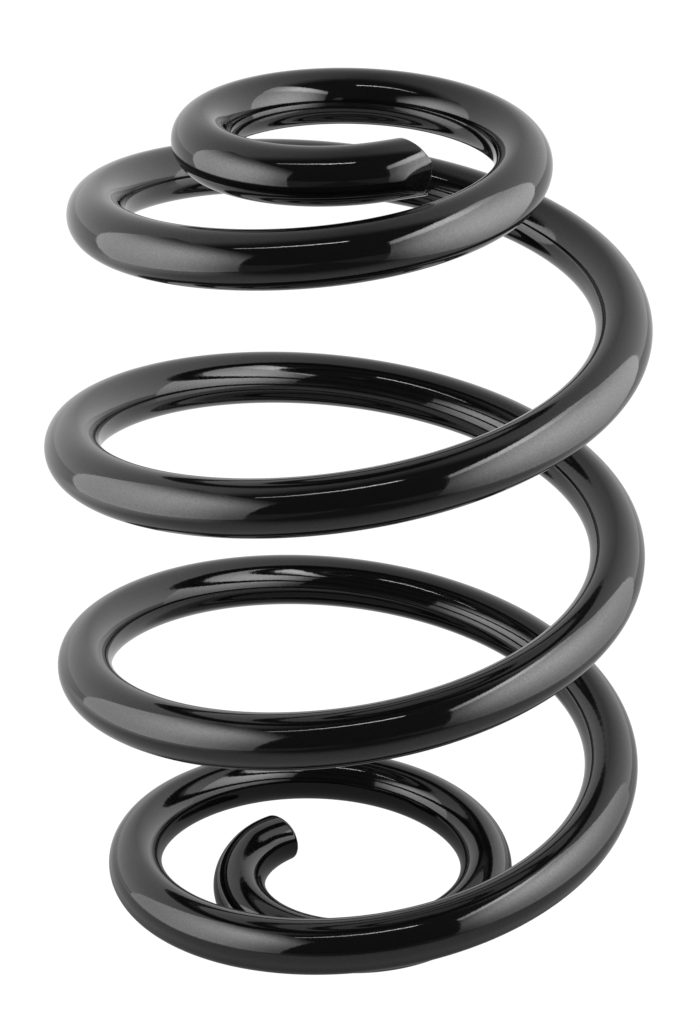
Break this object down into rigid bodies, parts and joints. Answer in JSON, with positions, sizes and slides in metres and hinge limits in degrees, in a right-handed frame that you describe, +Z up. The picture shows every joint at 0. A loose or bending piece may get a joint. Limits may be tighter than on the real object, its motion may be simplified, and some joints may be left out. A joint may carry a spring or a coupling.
{
  "type": "coil spring",
  "caption": "Barrel-shaped suspension compression spring: one round coated steel wire, wide even body coils, a small pigtail ring at each end, and it closes under load.",
  "frame": {"origin": "on the coil's axis, in the plane that the lower pigtail rests on", "axes": "+Z up along the coil's axis to the upper pigtail; -Y is the front"},
  "size_m": [0.1355, 0.1354, 0.2054],
  "materials": {
    "black_coated_steel": "gloss"
  },
  "bodies": {
    "lower_pigtail": {"lower_pigtail": "black_coated_steel"},
    "coil_1_back_quarter": {"coil_1_back": "black_coated_steel", "coil_1_back_left": "black_coated_steel"},
    "coil_1_left_quarter": {"coil_1_left": "black_coated_steel", "coil_1_front_left": "black_coated_steel"},
    "coil_1_front_quarter": {"coil_1_front": "black_coated_steel", "coil_1_front_right": "black_coated_steel"},
    "coil_1_right_quarter": {"coil_1_right": "black_coated_steel", "coil_1_back_right": "black_coated_steel"},
    "coil_2_back_quarter": {"coil_2_back": "black_coated_steel", "coil_2_back_left": "black_coated_steel"},
    "coil_2_left_quarter": {"coil_2_left": "black_coated_steel", "coil_2_front_left": "black_coated_steel"},
    "coil_2_front_quarter": {"coil_2_front": "black_coated_steel", "coil_2_front_right": "black_coated_steel"},
    "coil_2_right_quarter": {"coil_2_right": "black_coated_steel", "coil_2_back_right": "black_coated_steel"},
    "coil_3_back_quarter": {"coil_3_back": "black_coated_steel", "coil_3_back_left": "black_coated_steel"},
    "coil_3_left_quarter": {"coil_3_left": "black_coated_steel", "coil_3_front_left": "black_coated_steel"},
    "coil_3_front_quarter": {"coil_3_front": "black_coated_steel", "coil_3_front_right": "black_coated_steel"},
    "coil_3_right_quarter": {"coil_3_right": "black_coated_steel", "coil_3_back_right": "black_coated_steel"},
    "coil_4_back_quarter": {"coil_4_back": "black_coated_steel", "coil_4_back_left": "black_coated_steel"},
    "coil_4_left_quarter": {"coil_4_left": "black_coated_steel", "coil_4_front_left": "black_coated_steel"},
    "coil_4_front_quarter": {"coil_4_front": "black_coated_steel", "coil_4_front_right": "black_coated_steel"},
    "upper_pigtail": {"upper_pigtail": "black_coated_steel"}
  },
  "joints": [
    {"name": "wire_twist_01", "type": "hinge", "parent": "lower_pigtail", "child": "coil_1_back_quarter", "pos_m": [0.01481, 0.03575, 0.00946], "axis": [0.849, -0.5237, -0.0702], "range_deg": [0, 2.35], "stiffness_Nm_per_rad": 1940},
    {"name": "wire_twist_02", "type": "hinge", "parent": "coil_1_back_quarter", "child": "coil_1_left_quarter", "pos_m": [-0.04519, 0.01872, 0.01563], "axis": [0.4966, 0.8618, -0.1034], "range_deg": [0, 4.7], "stiffness_Nm_per_rad": 1940},
    {"name": "wire_twist_03", "type": "hinge", "parent": "coil_1_left_quarter", "child": "coil_1_front_quarter", "pos_m": [-0.02206, -0.05326, 0.02547], "axis": [-0.8853, 0.4478, -0.1255], "range_deg": [0, 7.05], "stiffness_Nm_per_rad": 1940},
    {"name": "compression", "type": "hinge", "parent": "coil_1_front_quarter", "child": "coil_1_right_quarter", "pos_m": [0.05682, -0.02353, 0.03818], "axis": [-0.3813, -0.9138, -0.1398], "range_deg": [0, 9.4], "stiffness_Nm_per_rad": 1940},
    {"name": "wire_twist_05", "type": "hinge", "parent": "coil_1_right_quarter", "child": "coil_2_back_quarter", "pos_m": [0.02354, 0.05682, 0.05206], "axis": [0.9144, -0.3788, -0.1427], "range_deg": [0, 9.4], "stiffness_Nm_per_rad": 1940},
    {"name": "wire_twist_06", "type": "hinge", "parent": "coil_2_back_quarter", "child": "coil_2_left_quarter", "pos_m": [-0.05682, 0.02354, 0.06599], "axis": [0.3788, 0.9144, -0.1427], "range_deg": [0, 9.4], "stiffness_Nm_per_rad": 1940},
    {"name": "wire_twist_07", "type": "hinge", "parent": "coil_2_left_quarter", "child": "coil_2_front_quarter", "pos_m": [-0.02354, -0.05682, 0.07991], "axis": [-0.9144, 0.3788, -0.1427], "range_deg": [0, 9.4], "stiffness_Nm_per_rad": 1940},
    {"name": "wire_twist_08", "type": "hinge", "parent": "coil_2_front_quarter", "child": "coil_2_right_quarter", "pos_m": [0.05682, -0.02354, 0.09384], "axis": [-0.3788, -0.9144, -0.1427], "range_deg": [0, 9.4], "stiffness_Nm_per_rad": 1940},
    {"name": "wire_twist_09", "type": "hinge", "parent": "coil_2_right_quarter", "child": "coil_3_back_quarter", "pos_m": [0.02354, 0.05682, 0.10776], "axis": [0.9144, -0.3788, -0.1427], "range_deg": [0, 9.4], "stiffness_Nm_per_rad": 1940},
    {"name": "wire_twist_10", "type": "hinge", "parent": "coil_3_back_quarter", "child": "coil_3_left_quarter", "pos_m": [-0.05682, 0.02354, 0.12169], "axis": [0.3788, 0.9144, -0.1427], "range_deg": [0, 9.4], "stiffness_Nm_per_rad": 1940},
    {"name": "wire_twist_11", "type": "hinge", "parent": "coil_3_left_quarter", "child": "coil_3_front_quarter", "pos_m": [-0.02354, -0.05682, 0.13561], "axis": [-0.9144, 0.3788, -0.1427], "range_deg": [0, 9.4], "stiffness_Nm_per_rad": 1940},
    {"name": "wire_twist_12", "type": "hinge", "parent": "coil_3_front_quarter", "child": "coil_3_right_quarter", "pos_m": [0.05682, -0.02354, 0.14954], "axis": [-0.3788, -0.9144, -0.1427], "range_deg": [0, 9.4], "stiffness_Nm_per_rad": 1940},
    {"name": "wire_twist_13", "type": "hinge", "parent": "coil_3_right_quarter", "child": "coil_4_back_quarter", "pos_m": [0.02316, 0.05592, 0.16345], "axis": [0.926, -0.3491, -0.1436], "range_deg": [0, 9.4], "stiffness_Nm_per_rad": 1940},
    {"name": "wire_twist_14", "type": "hinge", "parent": "coil_4_back_quarter", "child": "coil_4_left_quarter", "pos_m": [-0.05136, 0.02127, 0.17627], "axis": [0.3104, 0.9418, -0.1292], "range_deg": [0, 7.05], "stiffness_Nm_per_rad": 1940},
    {"name": "wire_twist_15", "type": "hinge", "parent": "coil_4_left_quarter", "child": "coil_4_front_quarter", "pos_m": [-0.01844, -0.04451, 0.18572], "axis": [-0.9545, 0.2821, -0.0965], "range_deg": [0, 4.7], "stiffness_Nm_per_rad": 1940},
    {"name": "wire_twist_16", "type": "hinge", "parent": "coil_4_front_quarter", "child": "upper_pigtail", "pos_m": [0.03717, -0.0154, 0.19113], "axis": [-0.2699, -0.9612, -0.0571], "range_deg": [0, 2.35], "stiffness_Nm_per_rad": 1940}
  ],
  "couplings": [
    {"joint": "wire_twist_01", "follows": "compression", "ratio": 0.25},
    {"joint": "wire_twist_02", "follows": "compression", "ratio": 0.5},
    {"joint": "wire_twist_03", "follows": "compression", "ratio": 0.75},
    {"joint": "wire_twist_05", "follows": "compression", "ratio": 1},
    {"joint": "wire_twist_06", "follows": "compression", "ratio": 1},
    {"joint": "wire_twist_07", "follows": "compression", "ratio": 1},
    {"joint": "wire_twist_08", "follows": "compression", "ratio": 1},
    {"joint": "wire_twist_09", "follows": "compression", "ratio": 1},
    {"joint": "wire_twist_10", "follows": "compression", "ratio": 1},
    {"joint": "wire_twist_11", "follows": "compression", "ratio": 1},
    {"joint": "wire_twist_12", "follows": "compression", "ratio": 1},
    {"joint": "wire_twist_13", "follows": "compression", "ratio": 1},
    {"joint": "wire_twist_14", "follows": "compression", "ratio": 0.75},
    {"joint": "wire_twist_15", "follows": "compression", "ratio": 0.5},
    {"joint": "wire_twist_16", "follows": "compression", "ratio": 0.25}
  ]
}
